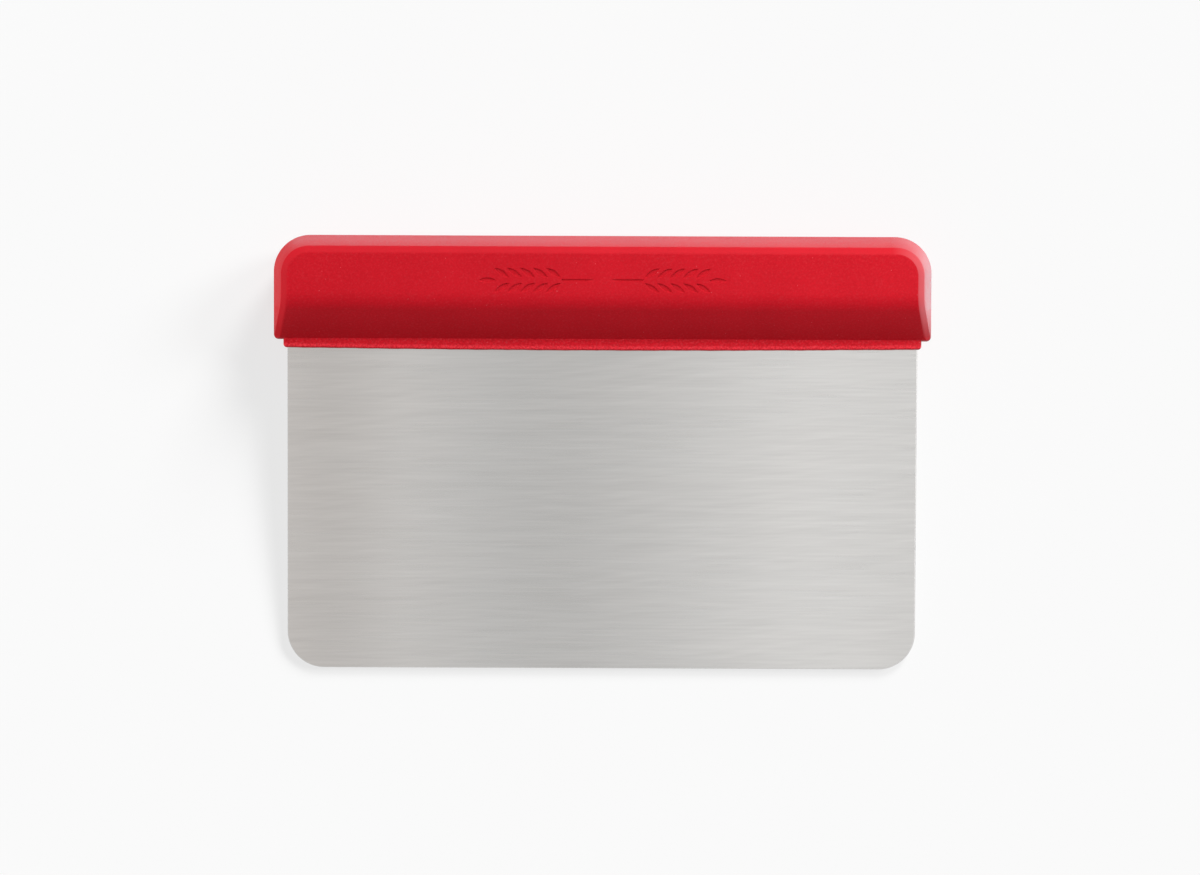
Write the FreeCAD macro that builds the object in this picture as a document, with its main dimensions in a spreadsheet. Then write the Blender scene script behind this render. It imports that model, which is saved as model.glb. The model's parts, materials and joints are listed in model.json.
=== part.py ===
"""Bench scraper: a steel blade whose tang is riveted between two moulded core halves, all under one
soft overmoulded grip.

Each sub-part is drawn in the blade's own axes, in millimetres: X runs along the working edge, Y from
the working edge up to the handle, and Z out of the blade's front, with Z = 0 at the middle of its
thickness. The finished scraper then lies on its back, as it does on a table: the working edge and the
rear of the grip touch Z = 0, and the origin is the bottom centre of its bounding box.
"""

import FreeCAD, Part
import math
import os
import re

import Sketcher
from FreeCAD import Placement, Rotation, Vector

SIZES = {
    # blade
    "blade_width": 152.4,
    "blade_thickness": 1.2,
    "blade_corner": 8.9,
    "edge_rounding": 0.3,
    "shoulder_height": 83.4,
    "tang_width": 136.0,
    "tang_top": 99.5,
    # grip
    "lip_start": 77.4,
    "lip_bow": 0.5,
    "lip_thickness": 3.2,
    "lip_width": 154.4,
    "lip_rounding": 0.5,
    "slope_start": 80.35,
    "slope_angle": 39.0,
    "slope_rounding": 7.5,
    "grip_top": 105.2,
    "grip_width": 159.0,
    "grip_thickness": 18.0,
    "grip_corner": 8.9,
    "grip_heel": 1.2,
    "draft": 15.0,
    "bevel": 1.12,
    # wheat-ear mark
    "mark_height": 95.0,
    "mark_depth": 0.3,
    "stem_start": 2.0,
    "stem_length": 8.0,
    "stem_width": 0.7,
    "stem_end": 0.36,
    "grain_pitch": 3.1,
    "grain_length": 4.4,
    "grain_radius": 4.0,
    "grain_angle": 32.0,
    "grain_gap": 0.63,
    # core
    "core_width": 147.0,
    "core_thickness": 12.8,
    "core_heel": 1.0,
    "core_top": 101.5,
    "cell_width": 5.0,
    "cell_start": 88.6,
    "cell_length": 10.0,
    "cell_depth": 4.0,
    # fasteners, all on one row
    "row_height": 94.5,
    "rivet_pitch": 30.0,
    "rivet_diameter": 4.0,
    "rivet_hole": 4.2,
    "head_diameter": 7.4,
    "head_seat": 7.6,
    "head_thickness": 1.2,
    "peg_diameter": 7.0,
    "peg_hole": 7.2,
    "peg_length": 2.9,
    "socket_depth": 3.2,
}
RIVETS = 5
PEGS = 4
CELLS = 8
GRAIN_PAIRS = 5
# For picking edges, in millimetres: nearer than TOUCHING is the same place, and further than CLEAR is
# another place. A face that leans more than HALF_WAY between a wall (0) and a floor (1) is a floor.
TOUCHING = 0.01
CLEAR = 1.0
HALF_WAY = 0.5

doc = FreeCAD.newDocument("BenchScraper")
sheet = doc.addObject("Spreadsheet::Sheet", "sizes")


def fill_sheet():
    """One row for each driving size: its name, and its value under that name as alias."""
    for row, (alias, value) in enumerate(SIZES.items(), start=1):
        sheet.set(f"A{row}", alias)
        sheet.set(f"B{row}", str(value))
        sheet.setAlias(f"B{row}", alias)
    doc.recompute()


def bound(formula):
    """A formula of bare size names, written as an expression on the sheet."""
    return re.sub(r"[a-z_]{3,}", lambda m: f"sizes.{m[0]}" if m[0] in SIZES else m[0], formula)


def value(formula):
    """What a formula of size names comes to now, as a number."""
    result = sheet.evalExpression(bound(formula))
    return float(getattr(result, "Value", result))


# ---- sketching -------------------------------------------------------------------------------------


def new_body(label):
    body = doc.addObject("PartDesign::Body", label)
    body.Label = label
    return body


def new_sketch(body, plane_role, name, offset="0"):
    """A sketch on one of the body's own origin planes, or that far along the plane's normal."""
    sketch = body.newObject("Sketcher::SketchObject", f"{body.Label}_{name}")
    plane = next(f for f in body.Origin.OriginFeatures if f.Role == plane_role)
    sketch.AttachmentSupport = [(plane, "")]
    sketch.MapMode = "FlatFace"
    sketch.setExpression("AttachmentOffset.Base.z", bound(offset))
    return sketch


def constrain(sketch, constraint, formula):
    index = sketch.addConstraint(constraint)
    sketch.setExpression(f"Constraints[{index}]", bound(formula))


def pin(sketch, geometry, end, x, y):
    """Holds one point of a sketch at x, y, both formulas."""
    constrain(sketch, Sketcher.Constraint("DistanceX", -1, 1, geometry, end, value(x)), x)
    constrain(sketch, Sketcher.Constraint("DistanceY", -1, 1, geometry, end, value(y)), y)


def arc_between(start, end, radius):
    """The shorter arc from start to end. A positive radius has its centre left of that way."""
    chord = end - start
    rise = math.sqrt(max(radius**2 - chord.Length**2 / 4, 0.0))
    left = Vector(-chord.y, chord.x, 0).normalize()
    centre = (start + end) / 2 + left * math.copysign(rise, radius)
    first, last = (start, end) if radius > 0 else (end, start)
    angles = [math.atan2(p.y - centre.y, p.x - centre.x) for p in (first, last)]
    return Part.ArcOfCircle(Part.Circle(centre, Vector(0, 0, 1), abs(radius)), *angles)


def add_loop(sketch, corners):
    """A closed loop through corners (x, y), anticlockwise. A corner (x, y, radius) starts an arc,
    whose radius is negative where the loop bends inwards."""
    ends = []
    places = [Vector(value(c[0]), value(c[1]), 0) for c in corners]
    for i, corner in enumerate(corners):
        start, end = places[i], places[(i + 1) % len(corners)]
        if len(corner) == 2:
            index = sketch.addGeometry(Part.LineSegment(start, end))
            ends.append((index, 1, 2))
            continue
        radius = value(corner[2])
        index = sketch.addGeometry(arc_between(start, end, radius))
        ends.append((index, 1, 2) if radius > 0 else (index, 2, 1))
        size = corner[2] if radius > 0 else f"-({corner[2]})"
        constrain(sketch, Sketcher.Constraint("Radius", index, abs(radius)), size)
    for i, (index, first, last) in enumerate(ends):
        following = ends[(i + 1) % len(ends)]
        sketch.addConstraint(Sketcher.Constraint("Coincident", index, last, following[0], following[1]))
        pin(sketch, index, first, corners[i][0], corners[i][1])


def add_box(sketch, left, low, right, high):
    add_loop(sketch, [(left, low), (right, low), (right, high), (left, high)])


def add_circle(sketch, x, y, diameter):
    circle = Part.Circle(Vector(value(x), value(y), 0), Vector(0, 0, 1), value(diameter) / 2)
    index = sketch.addGeometry(circle)
    pin(sketch, index, 3, x, y)
    constrain(sketch, Sketcher.Constraint("Diameter", index, value(diameter)), diameter)


def row_places(count, pitch):
    """Formulas of places along X, evenly spaced about the middle."""
    return [f"{pitch} * ({i} - {(count - 1) / 2})" for i in range(count)]


# ---- features --------------------------------------------------------------------------------------


def add_pad(body, sketch, length, name, backwards=False, draft=None):
    """Extrudes a sketch both ways from its plane, to length in all, or backwards against its
    plane's normal. With draft, each side of the plane is drawn in by that angle."""
    pad = body.newObject("PartDesign::Pad", f"{body.Label}_{name}")
    pad.Profile = sketch
    if draft:
        pad.SideType = "Two sides"
        pad.setExpression("Length", bound(f"{length} / 2"))
        pad.setExpression("Length2", bound(f"{length} / 2"))
        pad.setExpression("TaperAngle", bound(f"-{draft}"))
        pad.setExpression("TaperAngle2", bound(f"-{draft}"))
    else:
        pad.SideType = "One side" if backwards else "Symmetric"
        pad.Reversed = backwards
        pad.setExpression("Length", bound(length))
    doc.recompute()
    return pad


def add_pocket(body, sketch, length, name, both_ways=False, reverse=False):
    """Cuts a sketch against its plane's normal, or both ways, and makes sure that it cuts."""
    before = body.Shape.Volume
    pocket = body.newObject("PartDesign::Pocket", f"{body.Label}_{name}")
    pocket.Profile = sketch
    pocket.SideType = "Symmetric" if both_ways else "One side"
    pocket.Reversed = reverse
    pocket.setExpression("Length", bound(length))
    doc.recompute()
    if pocket.Shape.Volume >= before:
        raise RuntimeError(f"{pocket.Name} removes nothing")
    return pocket


def dress(body, kind, edges, size, name):
    """A fillet or chamfer of one size on the edges of the body's last feature."""
    last = body.Tip
    feature = body.newObject(f"PartDesign::{kind}", f"{body.Label}_{name}")
    feature.Base = (last, edges)
    feature.setExpression("Radius" if kind == "Fillet" else "Size", bound(size))
    doc.recompute()
    return feature


def edges_where(shape, test):
    """Names of the shape's edges whose middle point, and the edge itself, pass a test."""
    names = []
    for i, edge in enumerate(shape.Edges, start=1):
        middle = edge.valueAt((edge.FirstParameter + edge.LastParameter) / 2)
        if test(edge, middle):
            names.append(f"Edge{i}")
    return names


def tilt_of(face, point):
    """How far a face leans up or down at a point: 0 for a wall, 1 for a floor."""
    return abs(face.normalAt(*face.Surface.parameter(point)).z)


# ---- blade -----------------------------------------------------------------------------------------


def make_blade():
    """A flat stainless sheet with two rounded lower corners. Above its shoulders a narrower tang
    carries the rivet holes and the larger peg holes."""
    body = new_body("blade")
    side, tang = "blade_width / 2", "tang_width / 2"
    outline = new_sketch(body, "XY_Plane", "outline")
    add_loop(
        outline,
        [
            (f"-{side} + blade_corner", "0"),
            (f"{side} - blade_corner", "0", "blade_corner"),
            (side, "blade_corner"),
            (side, "shoulder_height"),
            (tang, "shoulder_height"),
            (tang, "tang_top"),
            (f"-{tang}", "tang_top"),
            (f"-{tang}", "shoulder_height"),
            (f"-{side}", "shoulder_height"),
            (f"-{side}", "blade_corner", "blade_corner"),
        ],
    )
    sheet_metal = add_pad(body, outline, "blade_thickness", "sheet")
    shoulder = value("shoulder_height")
    rim = edges_where(
        sheet_metal.Shape,
        lambda edge, middle: abs(middle.z) > TOUCHING and middle.y < shoulder - CLEAR,
    )
    dress(body, "Fillet", rim, "edge_rounding", "deburred_rim")
    holes = new_sketch(body, "XY_Plane", "holes")
    for x in row_places(RIVETS, "rivet_pitch"):
        add_circle(holes, x, "row_height", "rivet_hole")
    for x in row_places(PEGS, "rivet_pitch"):
        add_circle(holes, x, "row_height", "peg_hole")
    add_pocket(body, holes, "blade_thickness * 3", "hole_row", both_ways=True)
    return body


# ---- core ------------------------------------------------------------------------------------------

CORE_FACE = "core_thickness / 2"
CORE_SLOPE_END = f"shoulder_height + ({CORE_FACE} - core_heel) / tan(slope_angle)"


def make_core_half(label):
    """One rigid moulded half: sloped below, flat outside, with a recess for half of the tang and
    a row of cored-out cells between its fastener places. It is drawn with its outside up."""
    body = new_body(label)
    profile = new_sketch(body, "YZ_Plane", "profile")
    add_loop(
        profile,
        [
            ("shoulder_height", "0"),
            ("core_top", "0"),
            ("core_top", CORE_FACE),
            (CORE_SLOPE_END, CORE_FACE),
            ("shoulder_height", "core_heel"),
        ],
    )
    add_pad(body, profile, "core_width", "block")
    recess = new_sketch(body, "XY_Plane", "recess")
    add_box(recess, "-tang_width / 2", "shoulder_height", "tang_width / 2", "tang_top")
    add_pocket(body, recess, "blade_thickness / 2", "tang_recess", reverse=True)
    cells = new_sketch(body, "XY_Plane", "cells")
    for x in row_places(CELLS, "rivet_pitch / 2"):
        add_box(
            cells,
            f"{x} - cell_width / 2",
            "cell_start",
            f"{x} + cell_width / 2",
            "cell_start + cell_length",
        )
    add_pocket(body, cells, "cell_depth", "coring", reverse=True)
    shanks = new_sketch(body, "XY_Plane", "shanks")
    seats = new_sketch(body, "XY_Plane", "seats", offset=CORE_FACE)
    for x in row_places(RIVETS, "rivet_pitch"):
        add_circle(shanks, x, "row_height", "rivet_hole")
        add_circle(seats, x, "row_height", "head_seat")
    add_pocket(body, shanks, "core_thickness", "rivet_holes", reverse=True)
    add_pocket(body, seats, "head_thickness", "head_seats")
    return body


def make_core_front():
    """The front half has a blind socket for each peg of the rear half."""
    body = make_core_half("core_front")
    sockets = new_sketch(body, "XY_Plane", "sockets")
    for x in row_places(PEGS, "rivet_pitch"):
        add_circle(sockets, x, "row_height", "peg_hole")
    add_pocket(body, sockets, "socket_depth", "peg_sockets", reverse=True)
    return body


def make_core_rear():
    """The rear half has pegs, which pass through the tang into the front half."""
    body = make_core_half("core_rear")
    pegs = new_sketch(body, "XY_Plane", "pegs", offset="blade_thickness / 2")
    for x in row_places(PEGS, "rivet_pitch"):
        add_circle(pegs, x, "row_height", "peg_diameter")
    add_pad(body, pegs, "blade_thickness / 2 + peg_length", "locating_pegs", backwards=True)
    return body


# ---- rivets ----------------------------------------------------------------------------------------


def make_rivets():
    """Five rivets, each a shank with a flat head at either end, flush with the core's outside."""
    rivets = []
    for i, x in enumerate(row_places(RIVETS, "rivet_pitch"), start=1):
        pieces = []
        for name, diameter, height, low in (
            ("shank", "rivet_diameter", "core_thickness", "-core_thickness / 2"),
            ("front_head", "head_diameter", "head_thickness", "core_thickness / 2 - head_thickness"),
            ("rear_head", "head_diameter", "head_thickness", "-core_thickness / 2"),
        ):
            piece = doc.addObject("Part::Cylinder", f"rivet_{i}_{name}")
            piece.setExpression("Radius", bound(f"{diameter} / 2"))
            piece.setExpression("Height", bound(height))
            piece.setExpression("Placement.Base.x", bound(x))
            piece.setExpression("Placement.Base.y", bound("row_height"))
            piece.setExpression("Placement.Base.z", bound(low))
            pieces.append(piece)
        rivet = doc.addObject("Part::MultiFuse", f"rivet_{i}")
        rivet.Shapes = pieces
        rivets.append(rivet)
    group = doc.addObject("Part::Compound", "tang_rivets")
    group.Label = "tang_rivets"
    group.Links = rivets
    return group


# ---- grip ------------------------------------------------------------------------------------------

GRIP_SIDE = "grip_width / 2"
GRIP_FACE = "grip_thickness / 2"
LIP_FACE = "lip_thickness / 2"
# The drafted underside meets the slope where the slope starts, level with the lip's face.
GRIP_BOTTOM = f"slope_start - {LIP_FACE} * tan(draft)"
SLOPE_CORNER = f"slope_start + ({GRIP_FACE} - {LIP_FACE}) / tan(slope_angle)"
SLOPE_TANGENT = "slope_rounding * tan(slope_angle / 2)"


def make_grip():
    """The soft overmoulded grip: a drafted bar with a bevelled rim, sloped towards the blade on
    both sides, with a thin lip that closes on the blade and a hollow that the core fills."""
    body = new_body("grip")
    add_bar(body)
    cut_slopes(body)
    cut_heels(body)
    bevel_rim(body)
    add_lip(body)
    cut_hollow(body)
    cut_mark(body)
    return body


def add_bar(body):
    plan = new_sketch(body, "XY_Plane", "plan")
    add_loop(
        plan,
        [
            (f"-{GRIP_SIDE}", GRIP_BOTTOM),
            (GRIP_SIDE, GRIP_BOTTOM),
            (GRIP_SIDE, "grip_top - grip_corner", "grip_corner"),
            (f"{GRIP_SIDE} - grip_corner", "grip_top"),
            (f"-{GRIP_SIDE} + grip_corner", "grip_top", "grip_corner"),
            (f"-{GRIP_SIDE}", "grip_top - grip_corner"),
        ],
    )
    add_pad(body, plan, "grip_thickness", "bar", draft="draft")


def cut_slopes(body):
    """Cuts the front and rear slopes, each with a large rounding into its flat face."""
    run = f"({SLOPE_TANGENT}) * cos(slope_angle)"
    rise = f"({SLOPE_TANGENT}) * sin(slope_angle)"
    outside = "grip_thickness"
    for name, sign in (("front", ""), ("rear", "-")):
        profile = new_sketch(body, "YZ_Plane", f"{name}_slope")
        corners = [
            ("slope_start - grip_thickness", f"{sign}({LIP_FACE})"),
            ("slope_start", f"{sign}({LIP_FACE})"),
            (f"{SLOPE_CORNER} - {run}", f"{sign}({GRIP_FACE} - {rise})", "-slope_rounding"),
            (f"{SLOPE_CORNER} + {SLOPE_TANGENT}", f"{sign}({GRIP_FACE})"),
            (f"{SLOPE_CORNER} + {SLOPE_TANGENT}", f"{sign}({outside})"),
            ("slope_start - grip_thickness", f"{sign}({outside})"),
        ]
        if sign:
            corners = mirrored(corners)
        add_loop(profile, corners)
        add_pocket(body, profile, "grip_width * 2", f"{name}_slope_cut", both_ways=True)


def mirrored(corners):
    """The same loop walked the other way round, which keeps a mirrored loop anticlockwise."""
    places = [corner[:2] for corner in corners][::-1]
    bends = [corner[2:] for corner in corners][::-1]
    return [place + bend for place, bend in zip(places, bends[1:] + bends[:1])]


def cut_heels(body):
    """Rounds the two lower corners of the bar in plan."""
    plan = new_sketch(body, "XY_Plane", "heels")
    away = "grip_heel * 2"
    right = [
        (f"{GRIP_SIDE} - grip_heel", GRIP_BOTTOM),
        (f"{GRIP_SIDE} - grip_heel", f"{GRIP_BOTTOM} - {away}"),
        (f"{GRIP_SIDE} + {away}", f"{GRIP_BOTTOM} - {away}"),
        (f"{GRIP_SIDE} + {away}", f"{GRIP_BOTTOM} + grip_heel"),
        (GRIP_SIDE, f"{GRIP_BOTTOM} + grip_heel", "-grip_heel"),
    ]
    left = mirrored([(f"-({x})", *rest) for x, *rest in right])
    add_loop(plan, right)
    add_loop(plan, left)
    add_pocket(body, plan, "grip_thickness * 2", "heel_cut", both_ways=True)


def bevel_rim(body):
    """Bevels the edge between the walls and the faces, down both slopes to the lip."""
    shape = body.Shape
    lip = value("slope_start") + value("grip_heel") / 2

    def on_rim(edge, middle):
        tilts = sorted(tilt_of(face, middle) for face in shape.ancestorsOfType(edge, Part.Face))
        return middle.y > lip and abs(middle.z) > CLEAR and tilts[0] < HALF_WAY < tilts[-1]

    dress(body, "Chamfer", edges_where(shape, on_rim), "bevel", "rim_bevel")


def add_lip(body):
    """The lip's lower edge bows down a little in the middle and is rounded front and rear."""
    plan = new_sketch(body, "XY_Plane", "lip_plan")
    side = "lip_width / 2"
    bow_radius = "((lip_width / 2) ^ 2 + lip_bow ^ 2) / (2 * lip_bow)"
    add_loop(
        plan,
        [
            (f"-{side}", "lip_start + lip_bow", bow_radius),
            (side, "lip_start + lip_bow"),
            (side, "shoulder_height"),
            (f"-{side}", "shoulder_height"),
        ],
    )
    lip = add_pad(body, plan, "lip_thickness", "lip")
    face = value(LIP_FACE)
    start = value("slope_start")
    lower = edges_where(
        lip.Shape,
        lambda edge, middle: middle.y < start - CLEAR and abs(abs(middle.z) - face) < TOUCHING,
    )
    dress(body, "Fillet", lower, "lip_rounding", "lip_edge")


def cut_hollow(body):
    """The room that the core fills, and the slot through the lip that the blade fills."""
    profile = new_sketch(body, "YZ_Plane", "hollow")
    add_loop(
        profile,
        [
            ("shoulder_height", "-core_heel"),
            (CORE_SLOPE_END, f"-{CORE_FACE}"),
            ("core_top", f"-{CORE_FACE}"),
            ("core_top", CORE_FACE),
            (CORE_SLOPE_END, CORE_FACE),
            ("shoulder_height", "core_heel"),
        ],
    )
    add_pocket(body, profile, "core_width", "core_hollow", both_ways=True)
    slot = new_sketch(body, "XZ_Plane", "slot")
    side, face = "blade_width / 2", "blade_thickness / 2"
    add_loop(
        slot,
        [
            (f"-{side} + edge_rounding", f"-{face}"),
            (f"{side} - edge_rounding", f"-{face}", "edge_rounding"),
            (side, f"-{face} + edge_rounding"),
            (side, f"{face} - edge_rounding", "edge_rounding"),
            (f"{side} - edge_rounding", face),
            (f"-{side} + edge_rounding", face, "edge_rounding"),
            (f"-{side}", f"{face} - edge_rounding"),
            (f"-{side}", f"-{face} + edge_rounding", "edge_rounding"),
        ],
    )
    add_pocket(body, slot, "shoulder_height", "blade_slot")


def cut_mark(body):
    """Two shallow ears of wheat, lying end to end along the middle of the front face."""
    mark = new_sketch(body, "XY_Plane", "mark", offset=GRIP_FACE)
    for side in ("", "-"):
        add_stem(mark, side)
        starts = [f"stem_start + stem_length + grain_pitch * {i}" for i in range(GRAIN_PAIRS + 1)]
        for start in starts[:-1]:
            add_grain(mark, side, start, "grain_angle", "grain_gap")
            add_grain(mark, side, start, "-grain_angle", "grain_gap")
        add_grain(mark, side, starts[-1], "0", "0")
    add_pocket(body, mark, "mark_depth", "mark_cut")


def add_stem(sketch, side):
    low, high = "mark_height - stem_width / 2", "mark_height + stem_width / 2"
    near, far = "stem_start", "stem_start + stem_length - stem_width"
    corners = [(near, low), (far, low, "stem_end"), (far, high), (near, high)]
    if side:
        corners = mirrored([(f"-({x})", *rest) for x, *rest in corners])
    add_loop(sketch, corners)


def add_grain(sketch, side, start, angle, gap):
    """A pointed grain of two arcs. It starts beside the stem line, at start along the ear, and
    leans away from it by angle."""
    lean = "-" if angle.startswith("-") else ""
    root = (start, f"mark_height + {lean}({gap})")
    tip = (
        f"{start} + grain_length * cos({angle})",
        f"mark_height + {lean}({gap}) + grain_length * sin({angle})",
    )
    corners = [(*root, "grain_radius"), (*tip, "grain_radius")]
    if side:
        corners = mirrored([(f"-({x})", *rest) for x, *rest in corners])
    add_loop(sketch, corners)


# ---- lying on a table ------------------------------------------------------------------------------


def resting_angle():
    """The tilt at which the blade's rear rim and the grip's rear rounding touch one plane: both are
    circles in side view, and the plane is the line that runs under the two."""
    rim = value("edge_rounding")
    rounding = value("slope_rounding")
    apart = value(f"{SLOPE_CORNER} + {SLOPE_TANGENT} - edge_rounding")
    below = value(f"{GRIP_FACE} - slope_rounding - (blade_thickness / 2 - edge_rounding)")
    reach = math.hypot(apart, below)
    return math.degrees(math.asin((rounding - rim) / reach) + math.atan2(below, apart))


def lay_down(parts, turned):
    """Tilts every sub-part as one, then moves them so that the origin is the bottom centre of the
    whole. The turned sub-parts are drawn outside up and belong on the rear, outside down."""
    lean = Rotation(Vector(1, 0, 0), resting_angle())
    over = Rotation(Vector(0, 1, 0), 180)
    for part in parts:
        part.Placement = Placement(Vector(), lean * over if part in turned else lean)
    doc.recompute()
    whole = FreeCAD.BoundBox()
    for part in parts:
        whole.add(part.Shape.optimalBoundingBox(False, False))
    shift = Vector(-whole.Center.x, -whole.Center.y, -whole.ZMin)
    for part in parts:
        part.Placement = Placement(shift, part.Placement.Rotation)
    doc.recompute()
    return whole


def check(parts):
    """Stops unless every object is up to date and every sub-part is sound."""
    for item in doc.Objects:
        if "Invalid" in item.State or "Error" in item.State:
            raise RuntimeError(f"{item.Name} failed: {item.State}")
    for part in parts:
        if part.Shape.isNull() or not part.Shape.isValid():
            raise RuntimeError(f"{part.Label} has no sound shape")


def report(parts, whole):
    """Prints what each sub-part came to, and the place and direction of the grip's flat back."""
    for part in parts:
        print(f"{part.Label}: {len(part.Shape.Solids)} solids, {part.Shape.Volume:.1f} mm3")
    print(f"box {whole.XLength:.2f} x {whole.YLength:.2f} x {whole.ZLength:.2f}")
    print(f"tilt {resting_angle():.3f}")
    placement = parts[-1].Placement
    flat_start = value(f"{SLOPE_CORNER} + {SLOPE_TANGENT}")
    flat_end = value(f"grip_top - {GRIP_FACE} * tan(draft) - bevel")
    back = Vector(0, (flat_start + flat_end) / 2, -value(GRIP_FACE))
    print("grip back", placement.multVec(back), placement.Rotation.multVec(Vector(0, 0, -1)))


def main():
    fill_sheet()
    blade = make_blade()
    core_front = make_core_front()
    core_rear = make_core_rear()
    rivets = make_rivets()
    grip = make_grip()
    parts = [blade, core_front, core_rear, rivets, grip]
    whole = lay_down(parts, turned=[core_rear])
    check(parts)
    os.makedirs("parts", exist_ok=True)
    for part in parts:
        part.Shape.exportStep(f"parts/{part.Label}.step")
    report(parts, whole)


main()
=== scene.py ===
"""Looks of the bench scraper: detailed meshes for the blade and the grip, materials for every piece,
and a plain pale table under soft studio light."""

import json
import math

import bmesh
import bpy
from mathutils import Matrix, Vector


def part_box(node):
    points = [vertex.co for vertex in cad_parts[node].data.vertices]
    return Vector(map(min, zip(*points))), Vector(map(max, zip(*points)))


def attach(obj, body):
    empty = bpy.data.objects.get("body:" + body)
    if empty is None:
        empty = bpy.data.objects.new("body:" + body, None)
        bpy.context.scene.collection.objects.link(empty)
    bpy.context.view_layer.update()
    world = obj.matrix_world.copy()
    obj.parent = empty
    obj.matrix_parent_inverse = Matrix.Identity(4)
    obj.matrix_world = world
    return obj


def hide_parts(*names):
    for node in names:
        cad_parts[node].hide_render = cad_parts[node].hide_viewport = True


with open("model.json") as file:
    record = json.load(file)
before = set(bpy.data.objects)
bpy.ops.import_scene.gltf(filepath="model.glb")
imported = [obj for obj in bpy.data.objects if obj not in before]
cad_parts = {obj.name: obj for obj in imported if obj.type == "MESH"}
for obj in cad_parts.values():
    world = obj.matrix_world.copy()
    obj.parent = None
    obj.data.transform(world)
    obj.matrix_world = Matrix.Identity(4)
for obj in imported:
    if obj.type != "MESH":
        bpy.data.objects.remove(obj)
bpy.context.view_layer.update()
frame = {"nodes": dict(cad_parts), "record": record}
MOUNTS = {mount["name"]: mount for mount in frame["record"]["mounts"]}

# ---- sizes, in millimetres, in the blade's own axes --------------------------------------------------
# X runs along the working edge, Y from that edge up to the grip, Z out of the blade's front.

BLADE_WIDTH = (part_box("blade")[1].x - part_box("blade")[0].x) * 1000
GRIP_WIDTH = (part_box("grip")[1].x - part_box("grip")[0].x) * 1000
CORE_WIDTH = (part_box("core_front")[1].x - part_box("core_front")[0].x) * 1000

BLADE_HALF = 0.6  # half of the blade's thickness
BLADE_CORNER = 8.9
EDGE_ROUNDING = 0.3
SHOULDER = 83.4  # height of the blade's shoulders
TANG_WIDTH = 136.0
TANG_TOP = 99.5
HOLE_ROW = 94.5
HOLE_PITCH = 30.0
RIVETS, RIVET_HOLE = 5, 4.2  # how many, and their holes' diameter
PEGS, PEG_HOLE = 4, 7.2

GRIP_TOP = 105.2
GRIP_HALF = 9.0  # half of the grip's thickness
GRIP_CORNER = 8.9
HEEL = 1.2  # plan radius of the grip's two lower corners
DRAFT = math.tan(math.radians(15.0))  # how fast the grip's walls draw in
BEVEL = 1.12
SLOPE_START = 80.35
SLOPE = math.radians(39.0)
SLOPE_ROUNDING = 7.5
LIP_HALF = 1.6
LIP_START = 77.4
LIP_BOW = 0.5
LIP_WIDTH = 154.4
LIP_CORNER = 0.9
LIP_DRAFT = math.tan(math.radians(8.0))
CORE_HALF = 6.4
CORE_HEEL = 1.0
CORE_TOP = 101.5

MARK_HEIGHT = 95.0
MARK_DEPTH = 0.3
STEM_START = 2.0
STEM_LENGTH = 8.0
STEM_WIDTH = 0.7
GRAIN_PAIRS = 5
GRAIN_PITCH = 3.1
GRAIN_LENGTH = 4.4
GRAIN_RADIUS = 4.0
GRAIN_ANGLE = 32.0
GRAIN_GAP = 0.63

SAME = 1e-3  # heights nearer than this are one height
MERGED = 1e-5  # vertices nearer than this are joined
TINY = 1e-6  # an edge shorter than this isn't made
CREASE_SOFTNESS = 0.15  # between a wall and the bevel
BEVEL_SOFTNESS = 0.45  # between the bevel and a face
LIP_SOFTNESS = 0.5
SHARPEST_SMOOTH = math.radians(30)  # an edge that turns more than this stays crisp
FLAT_WEIGHT = 80  # how far the large faces decide the shading of their edges


def blade_to_row():
    """The matrix from the blade's own axes, in millimetres, to the row frame, in metres."""
    back = MOUNTS["grip_back"]["axis"]
    lean = math.atan2(back[1], -back[2])
    edge = Vector(MOUNTS["working_edge"]["pos_m"])
    return Matrix.Translation(edge) @ Matrix.Rotation(lean, 4, "X") @ Matrix.Scale(0.001, 4)


TO_ROW = blade_to_row()

# ---- mesh helpers ------------------------------------------------------------------------------------


def bend(before, corner, after, softness, steps):
    """Points of a smooth bend in place of a corner, which starts and ends that far from it."""
    to_before, to_after = before - corner, after - corner
    reach = min(softness, 0.45 * to_before.length, 0.45 * to_after.length)
    if reach < TINY:
        return [corner.copy() for _ in range(steps + 1)]
    start = corner + to_before.normalized() * reach
    end = corner + to_after.normalized() * reach
    points = []
    for i in range(steps + 1):
        u = i / steps
        points.append(start * (1 - u) ** 2 + corner * 2 * u * (1 - u) + end * u**2)
    return points


def add_points(mesh, points):
    return [mesh.verts.new(p) for p in points]


def add_face(mesh, corners):
    """One face, leaving out corners that coincide. A face that shrinks to a line isn't made."""
    kept = []
    for corner in corners:
        if not kept or (corner.co - kept[-1].co).length > TINY:
            kept.append(corner)
    while len(kept) > 1 and (kept[0].co - kept[-1].co).length < TINY:
        kept.pop()
    if len(kept) >= 3:
        mesh.faces.new(kept)


def add_strip(mesh, sections, closed=False):
    """Faces between sections, which are lists of as many vertices each."""
    pairs = list(zip(sections, sections[1:]))
    if closed:
        pairs.append((sections[-1], sections[0]))
    for one, other in pairs:
        for i in range(len(one) - 1):
            add_face(mesh, [one[i], other[i], other[i + 1], one[i + 1]])


def with_rear(mesh):
    """Adds the rear half, which mirrors the front half in the plane Z = 0, and joins them."""
    copied = bmesh.ops.duplicate(mesh, geom=mesh.verts[:] + mesh.edges[:] + mesh.faces[:])
    faces = [g for g in copied["geom"] if isinstance(g, bmesh.types.BMFace)]
    for item in copied["geom"]:
        if isinstance(item, bmesh.types.BMVert):
            item.co.z = -item.co.z
    bmesh.ops.reverse_faces(mesh, faces=faces)
    bmesh.ops.remove_doubles(mesh, verts=mesh.verts[:], dist=MERGED)


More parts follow.
